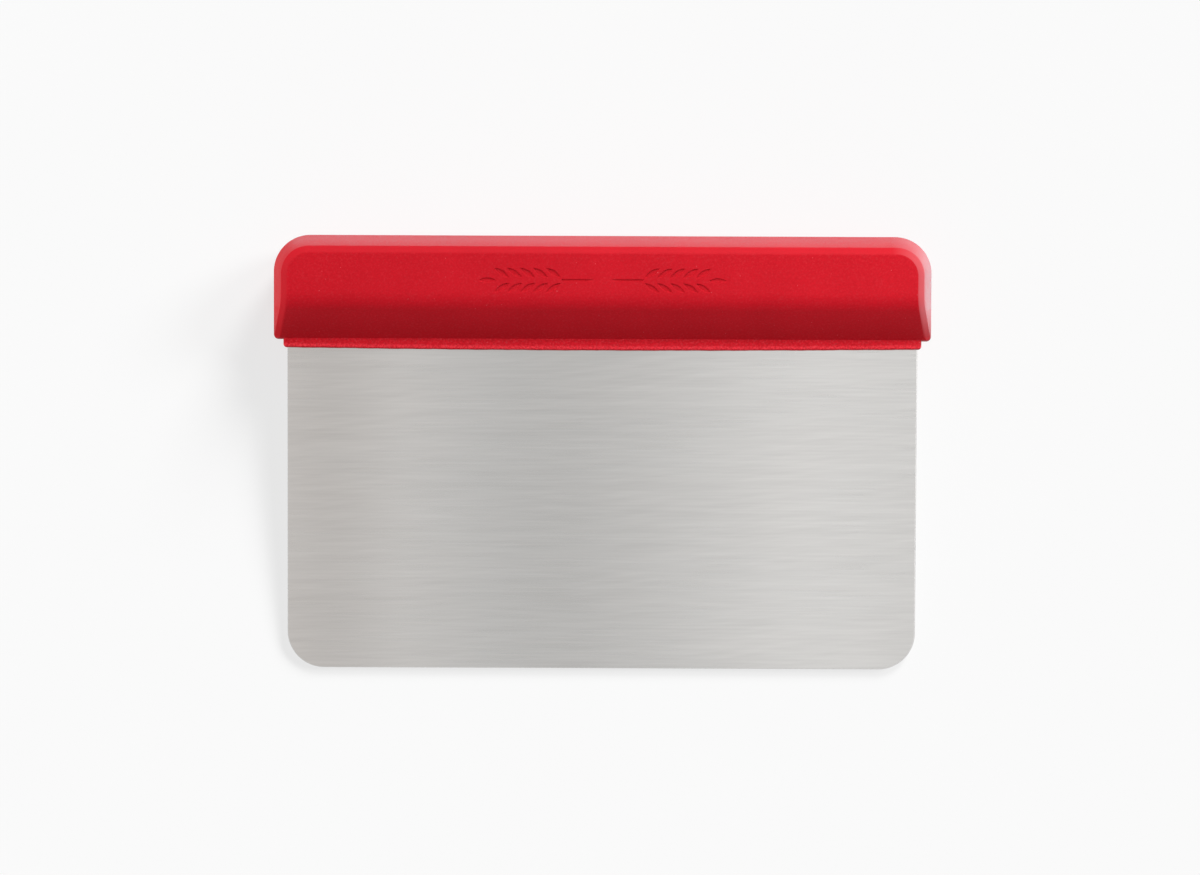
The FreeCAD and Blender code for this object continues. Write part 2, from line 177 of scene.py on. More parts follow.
def make_object(name, mesh):
    """A Blender object from a bmesh in the blade's own axes, with its normals outwards."""
    bmesh.ops.recalc_face_normals(mesh, faces=mesh.faces[:])
    data = bpy.data.meshes.new(name)
    mesh.to_mesh(data)
    mesh.free()
    made = bpy.data.objects.new(name, data)
    bpy.context.scene.collection.objects.link(made)
    return made


def cut(target, cutters):
    """Takes the cutters' space out of the target, and deletes them."""
    for cutter in cutters:
        boolean = target.modifiers.new("cut", "BOOLEAN")
        boolean.operation = "DIFFERENCE"
        boolean.solver = "EXACT"
        boolean.object = cutter
    graph = bpy.context.evaluated_depsgraph_get()
    data = bpy.data.meshes.new_from_object(target.evaluated_get(graph), depsgraph=graph)
    target.modifiers.clear()
    target.data = data
    for cutter in cutters:
        bpy.data.objects.remove(cutter)


def prism(outline, low, high, along="Z", shrink=(1.0, 1.0)):
    """A closed prism between two places along an axis, as a cutter. Its outline is given as (x, y),
    or as (y, z) along X, and shrink scales it about its middle at either end."""
    mesh = bmesh.new()
    middle = sum((Vector(p) for p in outline), Vector((0, 0))) / len(outline)
    ends = []
    for place, scale in ((low, shrink[0]), (high, shrink[1])):
        flat = [middle + (Vector(p) - middle) * scale for p in outline]
        end = [(p.x, p.y, place) if along == "Z" else (place, p.x, p.y) for p in flat]
        ends.append(add_points(mesh, end))
        mesh.faces.new(ends[-1])
    add_strip(mesh, [list(pair) for pair in zip(*ends)], closed=True)
    return make_object("cutter", mesh)


def settle(piece, replaced):
    piece.data.transform(TO_ROW)
    piece.data.shade_smooth()
    piece.data.set_sharp_from_angle(angle=SHARPEST_SMOOTH)
    normals = piece.modifiers.new("flat_faces", "WEIGHTED_NORMAL")
    normals.keep_sharp = True
    normals.weight = FLAT_WEIGHT
    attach(piece, "root")
    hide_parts(replaced)


def arc_points(centre, radius, start, end, steps):
    """Places (x, y) and outward directions along an arc, with its angles in degrees."""
    made = []
    for i in range(steps + 1):
        a = math.radians(start + (end - start) * i / steps)
        out = Vector((math.cos(a), math.sin(a), 0))
        made.append((Vector((centre[0], centre[1], 0)) + out * radius, out))
    return made


# ---- blade -------------------------------------------------------------------------------------------


def blade_outline():
    """The blade's outline, anticlockwise, as (point, direction of its mitre outwards)."""
    side, tang = BLADE_WIDTH / 2, TANG_WIDTH / 2
    right = arc_points((side - BLADE_CORNER, BLADE_CORNER), BLADE_CORNER, -90, 0, 32)
    right.append((Vector((side, SHOULDER, 0)), Vector((1, 1, 0))))
    right.append((Vector((tang, SHOULDER, 0)), Vector((1, 1, 0))))
    right.append((Vector((tang, TANG_TOP, 0)), Vector((1, 1, 0))))
    left = [(Vector((-p.x, p.y, 0)), Vector((-n.x, n.y, 0))) for p, n in reversed(right)]
    return right + left


def make_blade():
    """The whole sheet, with its rounded rim and the holes in its tang."""
    mesh = bmesh.new()
    sections = []
    for point, out in blade_outline():
        corner = point + Vector((0, 0, BLADE_HALF))
        inner = point - out * BLADE_HALF + Vector((0, 0, BLADE_HALF))
        rim = bend(point, corner, inner, EDGE_ROUNDING, 5)
        sections.append(add_points(mesh, [point, *rim]))
    add_strip(mesh, sections, closed=True)
    mesh.faces.new([section[-1] for section in sections])
    with_rear(mesh)
    blade = make_object("blade_sheet", mesh)
    cutters = []
    for count, diameter in ((RIVETS, RIVET_HOLE), (PEGS, PEG_HOLE)):
        for i in range(count):
            x = HOLE_PITCH * (i - (count - 1) / 2)
            around = arc_points((x, HOLE_ROW), diameter / 2, 0, 360, 40)[:-1]
            circle = [(p.x, p.y) for p, _ in around]
            cutters.append(prism(circle, -2 * BLADE_HALF, 2 * BLADE_HALF))
    cut(blade, cutters)
    settle(blade, "blade")
    return blade


# ---- grip --------------------------------------------------------------------------------------------

SLOPE_CORNER = SLOPE_START + (GRIP_HALF - LIP_HALF) / math.tan(SLOPE)
TANGENT = SLOPE_ROUNDING * math.tan(SLOPE / 2)
ROUND_START = SLOPE_CORNER - TANGENT * math.cos(SLOPE)
ROUND_END = SLOPE_CORNER + TANGENT
GRIP_BOTTOM = SLOPE_START - LIP_HALF * DRAFT


def surface(y):
    """Height of the grip's front surface, and its steepness, at a height y above the edge."""
    if y < ROUND_START:
        return LIP_HALF + (y - SLOPE_START) * math.tan(SLOPE), math.tan(SLOPE)
    if y < ROUND_END:
        along = ROUND_END - y
        rise = math.sqrt(SLOPE_ROUNDING**2 - along**2)
        return GRIP_HALF - SLOPE_ROUNDING + rise, along / rise
    return GRIP_HALF, 0.0


def rim_section(point, inward, shrink=1.0, inner=None):
    """From the parting line up the drafted wall, over the bevel and onto the surface. shrink makes
    the bevel smaller, and inner gives the bevel's inner edge where it doesn't follow the wall."""
    height, steepness = surface(point.y)
    drop = BEVEL * math.cos(math.atan(DRAFT)) * math.hypot(1, steepness)
    crease_height = height - drop
    crease = point + inward * crease_height * DRAFT + Vector((0, 0, crease_height))
    if inner is None:
        inner = point + inward * (height * DRAFT + BEVEL) + Vector((0, 0, height))
    else:
        depth = crease_height * DRAFT * shrink + LIP_HALF * DRAFT * (1 - shrink)
        crease = point + inward * depth + Vector((0, 0, depth / DRAFT))
    across = inward
    if abs(inward.y) < 0.5 or shrink < 1:
        across = Vector((math.copysign(1, -point.x), 0, 0))
    beyond = inner + across * BEVEL * shrink
    section = [point]
    section += bend(point, crease, inner, CREASE_SOFTNESS, 3)
    section += bend(crease, inner, beyond, BEVEL_SOFTNESS * shrink, 5)
    return section


def left_rim():
    """Sections up the grip's left end: heel, side and top corner."""
    side = GRIP_WIDTH / 2
    heel_centre = Vector((-side + HEEL, GRIP_BOTTOM + HEEL, 0))
    height, _ = surface(heel_centre.y)
    inner_top = Vector((-side + height * DRAFT + BEVEL, heel_centre.y, 0))
    inner_low = Vector((-side + HEEL, SLOPE_START, 0))
    steps = 10
    sections = []
    for i in range(steps):
        share = i / steps
        out = arc_points(heel_centre, HEEL, 270, 180, steps)[i]
        inner = inner_low.lerp(inner_top, share)
        inner.z = surface(inner.y)[0]
        sections.append(rim_section(out[0], -out[1], share, inner))
    rows = [heel_centre.y, (heel_centre.y + ROUND_START) / 2]
    rounds = 14
    rows += [ROUND_START + (ROUND_END - ROUND_START) * i / rounds for i in range(rounds + 1)]
    rows.append((ROUND_END + GRIP_TOP - GRIP_CORNER) / 2)
    for y in rows:
        sections.append(rim_section(Vector((-side, y, 0)), Vector((1, 0, 0))))
    centre = (-side + GRIP_CORNER, GRIP_TOP - GRIP_CORNER)
    for point, out in arc_points(centre, GRIP_CORNER, 180, 90, 28):
        sections.append(rim_section(point, -out))
    return sections


def mirrored(sections):
    """The same sections on the other side of X = 0, in the opposite order."""
    return [[Vector((-p.x, p.y, p.z)) for p in section] for section in reversed(sections)]


def lip_waviness(x):
    """The lip's moulded edge is a little uneven."""
    return 0.02 * math.sin(x * 0.9) + 0.015 * math.sin(x * 2.3 + 1) + 0.02 * math.sin(x * 0.31 + 2)


def lip_sections():
    """From the parting line over the lip's rim onto its face, from its left end round its lower
    edge to its right end. Its first and last sections lie in the grip's underside."""
    side = LIP_WIDTH / 2
    low = LIP_START + LIP_BOW
    left = [(Vector((-side, GRIP_BOTTOM, 0)), Vector((-1, 0, 0)))]
    left += arc_points((-side + LIP_CORNER, low + LIP_CORNER), LIP_CORNER, 180, 270, 8)
    path = list(left)
    steps = 120
    for i in range(1, steps):
        x = (-side + LIP_CORNER) + 2 * (side - LIP_CORNER) * i / steps
        bow = LIP_BOW * (1 - (x / (side - LIP_CORNER)) ** 2)
        path.append((Vector((x, low - bow + lip_waviness(x), 0)), Vector((0, -1, 0))))
    path += [(Vector((-p.x, p.y, 0)), Vector((-n.x, n.y, 0))) for p, n in reversed(left)]
    sections = []
    for point, out in path:
        top = point - out * LIP_HALF * LIP_DRAFT + Vector((0, 0, LIP_HALF))
        inner = top - out * LIP_HALF
        sections.append([point, *bend(point, top, inner, LIP_SOFTNESS, 6)])
    for section in (sections[0], sections[-1]):
        for p in section:
            p.y = GRIP_BOTTOM + p.z * DRAFT
    return sections


def make_grip():
    """The overmould's outer skin, hollowed for the core and the blade, with its mark cut in."""
    mesh = bmesh.new()
    left = left_rim()
    rim = [add_points(mesh, section) for section in left + mirrored(left)]
    add_strip(mesh, rim)
    lip = [add_points(mesh, section) for section in lip_sections()]
    add_strip(mesh, lip)
    inner = [section[-1] for section in rim]
    below = [v for v in inner if v.co.y <= ROUND_START + SAME]
    lip_left, lip_right = lip[0][-1], lip[-1][-1]
    slope_left = [v for v in below if v.co.x < 0]
    slope_right = [v for v in below if v.co.x > 0]
    add_face(mesh, slope_left[::-1] + [lip_left, lip_right] + slope_right[::-1])
    add_face(mesh, [section[-1] for section in lip][::-1])
    rounding = [v for v in inner if ROUND_START - SAME <= v.co.y <= ROUND_END + SAME]
    half = len(rounding) // 2
    for i in range(half - 1):
        one, other = rounding[i], rounding[i + 1]
        add_face(mesh, [one, rounding[-1 - i], rounding[-2 - i], other])
    add_face(mesh, [v for v in inner if v.co.y >= ROUND_END - SAME][::-1])
    add_face(mesh, rim[0] + lip[0][::-1])
    add_face(mesh, rim[-1] + lip[-1][::-1])
    bmesh.ops.remove_doubles(mesh, verts=mesh.verts[:], dist=MERGED)
    with_rear(mesh)
    grip = make_object("grip_overmould", mesh)
    cut(grip, [core_room(), blade_slot(), *mark_cutters()])
    settle(grip, "grip")
    return grip


def core_room():
    """The hollow that the core fills."""
    slope_end = SHOULDER + (CORE_HALF - CORE_HEEL) / math.tan(SLOPE)
    front = [(CORE_TOP, CORE_HALF), (slope_end, CORE_HALF), (SHOULDER, CORE_HEEL)]
    rear = [(y, -z) for y, z in reversed(front)]
    return prism(front + rear, -CORE_WIDTH / 2, CORE_WIDTH / 2, along="X")


def blade_slot():
    """The slot through the lip that the blade fills."""
    below, side = LIP_START - 1, BLADE_WIDTH / 2
    section = [(below, -BLADE_HALF), (SHOULDER, -BLADE_HALF)]
    section += [(SHOULDER, BLADE_HALF), (below, BLADE_HALF)]
    return prism(section, -side, side, along="X")


def grain_outline(root, lean):
    """A pointed grain between two arcs, leaning that many degrees from its ear's stem."""
    along = Vector((math.cos(math.radians(lean)), math.sin(math.radians(lean))))
    across = Vector((-along.y, along.x))
    half = math.asin(GRAIN_LENGTH / 2 / GRAIN_RADIUS)
    steps = 10
    right, left = [], []
    for i in range(steps):
        turn = half * (2 * i / steps - 1)
        ahead = along * (GRAIN_LENGTH / 2 + GRAIN_RADIUS * math.sin(turn))
        aside = across * GRAIN_RADIUS * (math.cos(turn) - math.cos(half))
        right.append(root + ahead - aside)
        left.append(root + along * GRAIN_LENGTH - ahead + aside)
    return right + left


def mark_cutters():
    """Two shallow ears of wheat, lying end to end along the middle of the front face."""
    stem_end = (STEM_START + STEM_LENGTH - STEM_WIDTH / 2, MARK_HEIGHT)
    stem = [(p.x, p.y) for p, _ in arc_points(stem_end, STEM_WIDTH / 2, -90, 90, 8)]
    stem += [(STEM_START, MARK_HEIGHT + STEM_WIDTH / 2), (STEM_START, MARK_HEIGHT - STEM_WIDTH / 2)]
    outlines = [stem]
    for i in range(GRAIN_PAIRS):
        start = STEM_START + STEM_LENGTH + GRAIN_PITCH * i
        outlines.append(grain_outline(Vector((start, MARK_HEIGHT + GRAIN_GAP)), GRAIN_ANGLE))
        outlines.append(grain_outline(Vector((start, MARK_HEIGHT - GRAIN_GAP)), -GRAIN_ANGLE))
    last = STEM_START + STEM_LENGTH + GRAIN_PITCH * GRAIN_PAIRS
    outlines.append(grain_outline(Vector((last, MARK_HEIGHT)), 0))
    outlines += [[(-x, y) for x, y in reversed(outline)] for outline in outlines]
    low, high = GRIP_HALF - MARK_DEPTH, GRIP_HALF + MARK_DEPTH
    return [prism(outline, low, high, shrink=(0.8, 1.2)) for outline in outlines]


# ---- materials ---------------------------------------------------------------------------------------
# Textures are laid out in the object's own space, whose unit is the metre: PER_MM makes it millimetres.

PER_MM = 1000.0


def plug(material, socket, value):
    """Links a socket to another, or sets its value."""
    if isinstance(value, bpy.types.NodeSocket):
        material.node_tree.links.new(value, socket)
    else:
        socket.default_value = value


def add_node(material, kind, inputs, **settings):
    made = material.node_tree.nodes.new("ShaderNode" + kind)
    for name, value in settings.items():
        setattr(made, name, value)
    for name, value in inputs.items():
        plug(material, made.inputs[name], value)
    return made


def new_material(name, **sockets):
    """A material of one Principled shader. Each keyword names a socket, with _ for a space."""
    material = bpy.data.materials.new(name)
    material.use_nodes = True
    shader = material.node_tree.nodes["Principled BSDF"]
    for socket, value in sockets.items():
        shader.inputs[socket.replace("_", " ")].default_value = value
    return material, shader


def place(material, stretch=(1, 1, 1), turn=0.0):
    """The place on the object in millimetres, turned by that many degrees and then multiplied by
    stretch."""
    inputs = {
        "Vector": add_node(material, "TexCoord", {}).outputs["Object"],
        "Rotation": (0, 0, math.radians(turn)),
        "Scale": [1 / (PER_MM * s) for s in stretch],
    }
    return add_node(material, "Mapping", inputs, vector_type="TEXTURE").outputs["Vector"]


def noise(material, size, detail=2.0, roughness=0.5, stretch=(1, 1, 1), distortion=0.0, turn=0.0):
    """Noise between 0 and 1 whose features are about that many millimetres across."""
    inputs = {
        "Vector": place(material, stretch, turn),
        "Scale": 1 / size,
        "Detail": detail,
        "Roughness": roughness,
        "Distortion": distortion,
    }
    return add_node(material, "TexNoise", inputs).outputs["Fac"]


def maths(material, operation, *values):
    made = material.node_tree.nodes.new("ShaderNodeMath")
    made.operation = operation
    for socket, value in zip(made.inputs, values):
        plug(material, socket, value)
    return made.outputs[0]


def spread(material, factor, low, high, start=0.3, end=0.7):
    """Stretches a factor, so that start to end becomes low to high."""
    inputs = {"Value": factor, "From Min": start, "From Max": end, "To Min": low, "To Max": high}
    return add_node(material, "MapRange", inputs).outputs["Result"]


def mixed(material, factor, one, other, blend="MIX"):
    """Colour one turning into the other as the factor goes from 0 to 1."""
    made = add_node(material, "Mix", {}, data_type="RGBA", blend_type=blend)
    plug(material, made.inputs["Factor"], factor)
    plug(material, made.inputs[6], one)
    plug(material, made.inputs[7], other)
    return made.outputs[2]


def flecks(material, size, pitch, share):
    """1 in small round flecks, 0 elsewhere: one in each cell of that pitch, in that share of cells."""
    inputs = {"Vector": place(material), "Scale": 1 / pitch}
    cells = add_node(material, "TexVoronoi", inputs)
    near = maths(material, "LESS_THAN", cells.outputs["Distance"], size / pitch / 2)
    pick = add_node(material, "SeparateColor", {"Color": cells.outputs["Color"]}).outputs[0]
    return maths(material, "MULTIPLY", near, maths(material, "LESS_THAN", pick, share))


def bumps(material, height, depth, strength=1.0):
    """A normal from a height between 0 and 1 that stands for that many millimetres."""
    inputs = {"Height": height, "Distance": depth / PER_MM, "Strength": strength}
    return add_node(material, "Bump", inputs).outputs["Normal"]


TABLE_TONE = 0.956  # how bright the open table looks
TABLE_SHADED = 0.2  # the share of that tone which the scraper can shade
TABLE_ALBEDO = 0.15
TABLE_LIGHTS = ((60, 23, 20, 0.11), (25, 28, 20, 0.07), (0, 90, 120, 0.02))  # shares sum to TABLE_SHADED
ROOM_TONE = 0.12  # how bright the room is all round

ACROSS_BRUSHING = "across_brushing"  # a UV map
STEEL = (0.500, 0.492, 0.480, 1), (0.790, 0.778, 0.760, 1)  # dull and pale
WARM_STEEL = (0.510, 0.485, 0.463, 1), (0.805, 0.768, 0.737, 1)
# Painted reflections: soft upright bands of darker and paler steel that stand in for the studio's
# reflections in the sheet.
PAINTED_REFLECTION_BANDS = (  # middle, reach and weight: dull near the left end and left of the middle, pale on the right
    (-66.0, 20.0, -0.2),
    (-14.0, 38.0, -0.25),
    (50.0, 42.0, 0.35),
)
WARM_SIDE = -82.0  # the middle of the warm band, past the blade's left edge
WARM_REACH = 62.0

RED = (0.59, 0.0080, 0.019, 1)
# The darker tone of the grain, and also the colour of the painted shade in the crease above the lip.
DEEP_RED = (0.41, 0.0040, 0.0100, 1)
# Pale colour of dust flecks and grain speckle, and of the painted highlight on the walls.
PALE_FLECKS_AND_GLARE = (0.70, 0.16, 0.18, 1)
# Colour of a painted highlight along the lip's rounded lower edge.
PAINTED_EDGE_HIGHLIGHT = (0.84, 0.04, 0.06, 1)
LIP_HEIGHT = GRIP_BOTTOM - LIP_START
PAINTED_HIGHLIGHT_LINE = 0.75  # how far the painted highlight line is above the lip's edge
PAINTED_SHADE_REACH = 6.0  # how far the painted shade, a deeper red, goes up from the crease
PAINTED_GLARE_REACH = 10.0  # how far the painted highlight at the right-hand end reaches in from the grip's right side
HEEL_REACH = 7.0  # how far above the crease the painted highlight fades in


def above_lip_edge(material):
    """How many millimetres a place is above the lip's bowed lower edge."""
    axes = add_node(material, "SeparateXYZ", {"Vector": place(material)}).outputs
    lowest = (TO_ROW @ Vector((0, LIP_START, LIP_HALF))).y * PER_MM
    bow = maths(material, "MULTIPLY", axes["X"], axes["X"])
    bow = maths(material, "MULTIPLY", bow, LIP_BOW / (LIP_WIDTH / 2) ** 2)
    return maths(material, "SUBTRACT", maths(material, "SUBTRACT", axes["Y"], lowest), bow)


def rubber(name, grain, speckle, dust_and_edge_highlight, roughness, painted_glare=0.0, gloss=0.11):
    """Soft-touch rubber. grain is the depth of its moulded grain in millimetres, speckle how far its
    colour varies with the grain, and dust the share of places with a pale fleck; where dust is set, the
    lip's edge also gets a painted highlight in a speckled line. Painted shade deepens the red in the
    crease above the lip. The argument after roughness sets a painted highlight that pales the rubber
    faintly all along and strongly at its right-hand end."""
    material, shader = new_material(name, Specular_IOR_Level=gloss)
    fine = noise(material, 0.42, 1.5, 0.6)
    broad = noise(material, 14.0, 3.0, 0.5)
    height = above_lip_edge(material)
    blend = spread(material, fine, -speckle, speckle)
    blend = maths(material, "ADD", blend, spread(material, broad, -0.1, 0.1))
    # Painted shade: the red deepens towards the crease above the lip, fading up the slope and a little
    # way down onto the lip.
    painted_crease_shade = spread(material, height, 0.12, 0.75, LIP_HEIGHT, LIP_HEIGHT + PAINTED_SHADE_REACH)
    painted_lip_shade = spread(material, height, 0.75, 0.3, LIP_HEIGHT - 0.6, LIP_HEIGHT - 0.1)
    blend = maths(material, "ADD", blend, maths(material, "MAXIMUM", painted_crease_shade, painted_lip_shade))
    colour = mixed(material, blend, DEEP_RED, RED)
    sparkle = noise(material, 0.5, 1.0, 0.6, turn=30.0)
    pale = spread(material, sparkle, 0.0, 0.3 * speckle, 0.5, 0.75)
    if dust_and_edge_highlight:
        large, small = flecks(material, 0.28, 2.2, dust_and_edge_highlight), flecks(material, 0.2, 0.9, dust_and_edge_highlight)
        specks = maths(material, "MAXIMUM", large, small)
        pale = maths(material, "MAXIMUM", pale, maths(material, "MULTIPLY", specks, 0.5))
        # Painted highlight: a bright, patchy line along the lip's rounded lower edge.
        off_line = maths(material, "ABSOLUTE", maths(material, "SUBTRACT", height, PAINTED_HIGHLIGHT_LINE))
        patchy = spread(material, fine, 0.25, 0.9, 0.42, 0.62)
        painted_highlight = maths(material, "MULTIPLY", spread(material, off_line, 1, 0, 0.2, 0.7), patchy)
        colour = mixed(material, painted_highlight, colour, PAINTED_EDGE_HIGHLIGHT)
    # Painted highlight: the walls turn paler, faintly all along and strongly towards the grip's
    # right-hand end.
    if painted_glare:
        across = add_node(material, "SeparateXYZ", {"Vector": place(material)}).outputs["X"]
        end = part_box("grip")[1].x * PER_MM
        painted_glare_mask = spread(material, across, 0.03, painted_glare, end - PAINTED_GLARE_REACH, end - 2)
        above_heel = spread(material, height, 0, 1, LIP_HEIGHT, LIP_HEIGHT + HEEL_REACH)
        pale = maths(material, "MAXIMUM", pale, maths(material, "MULTIPLY", painted_glare_mask, above_heel))
    plug(material, shader.inputs["Base Color"], mixed(material, pale, colour, PALE_FLECKS_AND_GLARE))
    plug(material, shader.inputs["Roughness"], spread(material, fine, roughness - 0.05, roughness + 0.05))
    if grain:
        plug(material, shader.inputs["Normal"], bumps(material, fine, grain))
    return material


def upright_band(material, middle, reach):
    """1 at that many millimetres across, fading to 0 at the reach on both sides."""
    across = add_node(material, "SeparateXYZ", {"Vector": place(material)}).outputs["X"]
    away = maths(material, "ABSOLUTE", maths(material, "SUBTRACT", across, middle))
    inputs = {"Value": away, "From Min": 0.0, "From Max": reach, "To Min": 1.0, "To Max": 0.0}
    return add_node(material, "MapRange", inputs, interpolation_type="SMOOTHSTEP").outputs["Result"]


def brushed_steel():
    """Stainless sheet, brushed from side to side: long fine strokes, streaks, the faint slanted marks of
    wiping, and soft upright bands of painted reflection, the tone warmer on the left."""
    material, shader = new_material("brushed_steel", Metallic=1.0, Anisotropic=0.6)
    strokes = noise(material, 0.5, 1.0, 0.5, stretch=(0.03, 1, 1))
    streaks = noise(material, 1.8, 1.5, 0.5, stretch=(0.03, 1, 1))
    wipes = noise(material, 1.1, 1.5, 0.5, stretch=(0.06, 1, 1), turn=8.0)
    clouds = noise(material, 18.0, 2.0, 0.5, stretch=(0.6, 1, 1))
    patchy = spread(material, clouds, 0, 1)
    wipes = maths(material, "MULTIPLY", spread(material, wipes, -0.06, 0.06), patchy)
    tone = 0.5
    for part in (spread(material, strokes, -0.06, 0.06), spread(material, streaks, -0.04, 0.04), wipes):
        tone = maths(material, "ADD", tone, part)
    # Painted reflections: darker and paler upright bands across the sheet.
    for middle, reach, weight in PAINTED_REFLECTION_BANDS:
        band = maths(material, "MULTIPLY", upright_band(material, middle, reach), weight)
        tone = maths(material, "ADD", tone, band)
    neutral = mixed(material, tone, *STEEL)
    warm = mixed(material, tone, *WARM_STEEL)
    warmth = upright_band(material, WARM_SIDE, WARM_REACH)
    warmth = maths(material, "ADD", warmth, spread(material, clouds, -0.1, 0.1))
    plug(material, shader.inputs["Base Color"], mixed(material, warmth, neutral, warm))
    roughness = spread(material, strokes, 0.27, 0.33)
    roughness = maths(material, "ADD", roughness, spread(material, clouds, -0.015, 0.015))
    plug(material, shader.inputs["Roughness"], roughness)
    plug(material, shader.inputs["Normal"], bumps(material, streaks, 0.002))
    tangent = add_node(material, "Tangent", {}, direction_type="UV_MAP", uv_map=ACROSS_BRUSHING)
    plug(material, shader.inputs["Tangent"], tangent.outputs["Tangent"])
    return material


def ground_edge():
    """The blade's rim, ground and deburred: brighter than its faces, with short marks along it."""
    material, shader = new_material("ground_edge", Metallic=1.0)
    marks = noise(material, 0.3, 3.0, 0.6)
    colour = mixed(material, marks, (0.64, 0.63, 0.62, 1), (0.76, 0.75, 0.74, 1))
    plug(material, shader.inputs["Base Color"], colour)
    plug(material, shader.inputs["Roughness"], spread(material, marks, 0.2, 0.34))
    plug(material, shader.inputs["Normal"], bumps(material, marks, 0.004))
    return material


def core_plastic():
    """Dark glass-filled polymer with a fine moulded grain and faint flow marks."""
    material, shader = new_material("core_plastic")
    grain = noise(material, 0.4, 3.0, 0.6)
    flow = noise(material, 9.0, 2.0, 0.5, stretch=(0.3, 1, 1), distortion=1.0)
    colour = mixed(material, flow, (0.020, 0.020, 0.022, 1), (0.034, 0.034, 0.037, 1))
    plug(material, shader.inputs["Base Color"], colour)
    plug(material, shader.inputs["Roughness"], spread(material, grain, 0.42, 0.58))
    plug(material, shader.inputs["Normal"], bumps(material, grain, 0.01))
    return material


def rivet_metal():
    """Aluminium rivets, pressed flat, with fine scratches."""
    material, shader = new_material("rivet_metal", Metallic=1.0)
    scratches = noise(material, 0.25, 3.0, 0.7, stretch=(0.2, 1, 1))
    colour = mixed(material, scratches, (0.70, 0.70, 0.71, 1), (0.82, 0.82, 0.83, 1))
    plug(material, shader.inputs["Base Color"], colour)
    plug(material, shader.inputs["Roughness"], spread(material, scratches, 0.25, 0.42))
    plug(material, shader.inputs["Normal"], bumps(material, scratches, 0.005))
    return material


def table_paint():
    """A matt table under even light: most of its tone is a glow, which shades nothing, and the rest
    is what its own lights add."""
    material, shader = new_material(
        "table_paint",
        Roughness=0.9,
        Specular_IOR_Level=0.0,
        Emission_Color=(1, 1, 1, 1),
        Emission_Strength=TABLE_TONE * (1 - TABLE_SHADED) - TABLE_ALBEDO * ROOM_TONE,
    )
    tone = noise(material, 60.0, 2.0, 0.5)
    dark, pale = [(TABLE_ALBEDO * t,) * 3 + (1,) for t in (0.98, 1.02)]
    plug(material, shader.inputs["Base Color"], mixed(material, tone, dark, pale))
    return material


def put_on(piece, materials, choose):
    """Gives each face the material whose number choose returns for the face's middle and its
    direction, both in the blade's own axes."""
    back = TO_ROW.inverted()
    turn = back.to_3x3().normalized()
    piece.data.materials.clear()
    for material in materials:
        piece.data.materials.append(material)
    for face in piece.data.polygons:
        face.material_index = choose(back @ face.center, turn @ face.normal)


def dress_blade(blade):
    """Brushed faces, with a UV map whose U runs across the brushing, where the shine spreads most, and
    a ground rim."""
    layer = blade.data.uv_layers.new(name=ACROSS_BRUSHING)
    for loop in blade.data.loops:
        spot = blade.data.vertices[loop.vertex_index].co
        layer.data[loop.index].uv = (spot.y, spot.x)
    put_on(blade, [brushed_steel(), ground_edge()], lambda middle, out: 0 if abs(out.z) > 0.99 else 1)


def dress_grip(grip):
    """Grained faces and slopes, smooth walls with a painted highlight strongest at the right-hand end,
    and a dustier, coarser lip.
    """
    faces = rubber("grip_face", 0.012, 0.2, 0.05, 0.6)
    walls = rubber("grip_wall", 0.0, 0.12, 0.0, 0.6, 0.58, 0.09)
    lip = rubber("grip_lip", 0.02, 0.45, 0.12, 0.55)

    def choose(middle, out):
        if middle.y < GRIP_BOTTOM + 0.01:
            return 2
        return 0 if abs(out.z) > math.cos(SLOPE) - 0.02 and abs(out.x) < 0.2 and out.y < 0.2 else 1

    put_on(grip, [faces, walls, lip], choose)


# ---- stage -------------------------------------------------------------------------------------------


def make_floor():
    data = bpy.data.meshes.new("table")
    half = 3.0
    corners = [(-half, -half, 0), (half, -half, 0), (half, half, 0), (-half, half, 0)]
    data.from_pydata(corners, [], [(0, 1, 2, 3)])
    floor = bpy.data.objects.new("table", data)
    bpy.context.scene.collection.objects.link(floor)
    floor.data.materials.append(table_paint())
    return floor


def make_camera():
    """Straight above, as the scraper was seen, through a long lens."""
    camera = bpy.data.objects.new("camera", bpy.data.cameras.new("camera"))
    bpy.context.scene.collection.objects.link(camera)
    camera.data.lens = 185.0
    camera.data.sensor_width = 36.0
    camera.location = (-0.0005, 0.0037, 1.5)
    camera.rotation_euler = (0, 0, math.radians(0.23))
    bpy.context.scene.camera = camera


def only_for(name, *lit):
    """A group of the objects that a light falls on, for lights that leave the others alone."""
    group = bpy.data.collections.new(name)
    for item in lit:
        group.objects.link(item)
    return group


def add_lamp(name, kind, strength, group, colour=(1, 1, 1), **settings):
    lamp = bpy.data.lights.new(name, kind)
    lamp.energy = strength
    lamp.color = colour
    for setting, value in settings.items():
        setattr(lamp, setting, value)
    made = bpy.data.objects.new(name, lamp)
    made.visible_camera = False
    made.light_linking.receiver_collection = group
    bpy.context.scene.collection.objects.link(made)
    return made


def towards(azimuth, elevation):
    """The direction of a light: azimuth from +X towards +Y, elevation above the table, in degrees."""
    a, e = math.radians(azimuth), math.radians(elevation)
    return Vector((math.cos(a) * math.cos(e), math.sin(a) * math.cos(e), math.sin(e)))


def add_sky(name, azimuth, elevation, width, strength, group, colour=(1, 1, 1)):
    """A far round softbox, as wide as that many degrees of the sky."""
    made = add_lamp(name, "SUN", strength, group, colour, angle=math.radians(width))
    made.rotation_euler = towards(azimuth, elevation).to_track_quat("Z", "Y").to_euler()


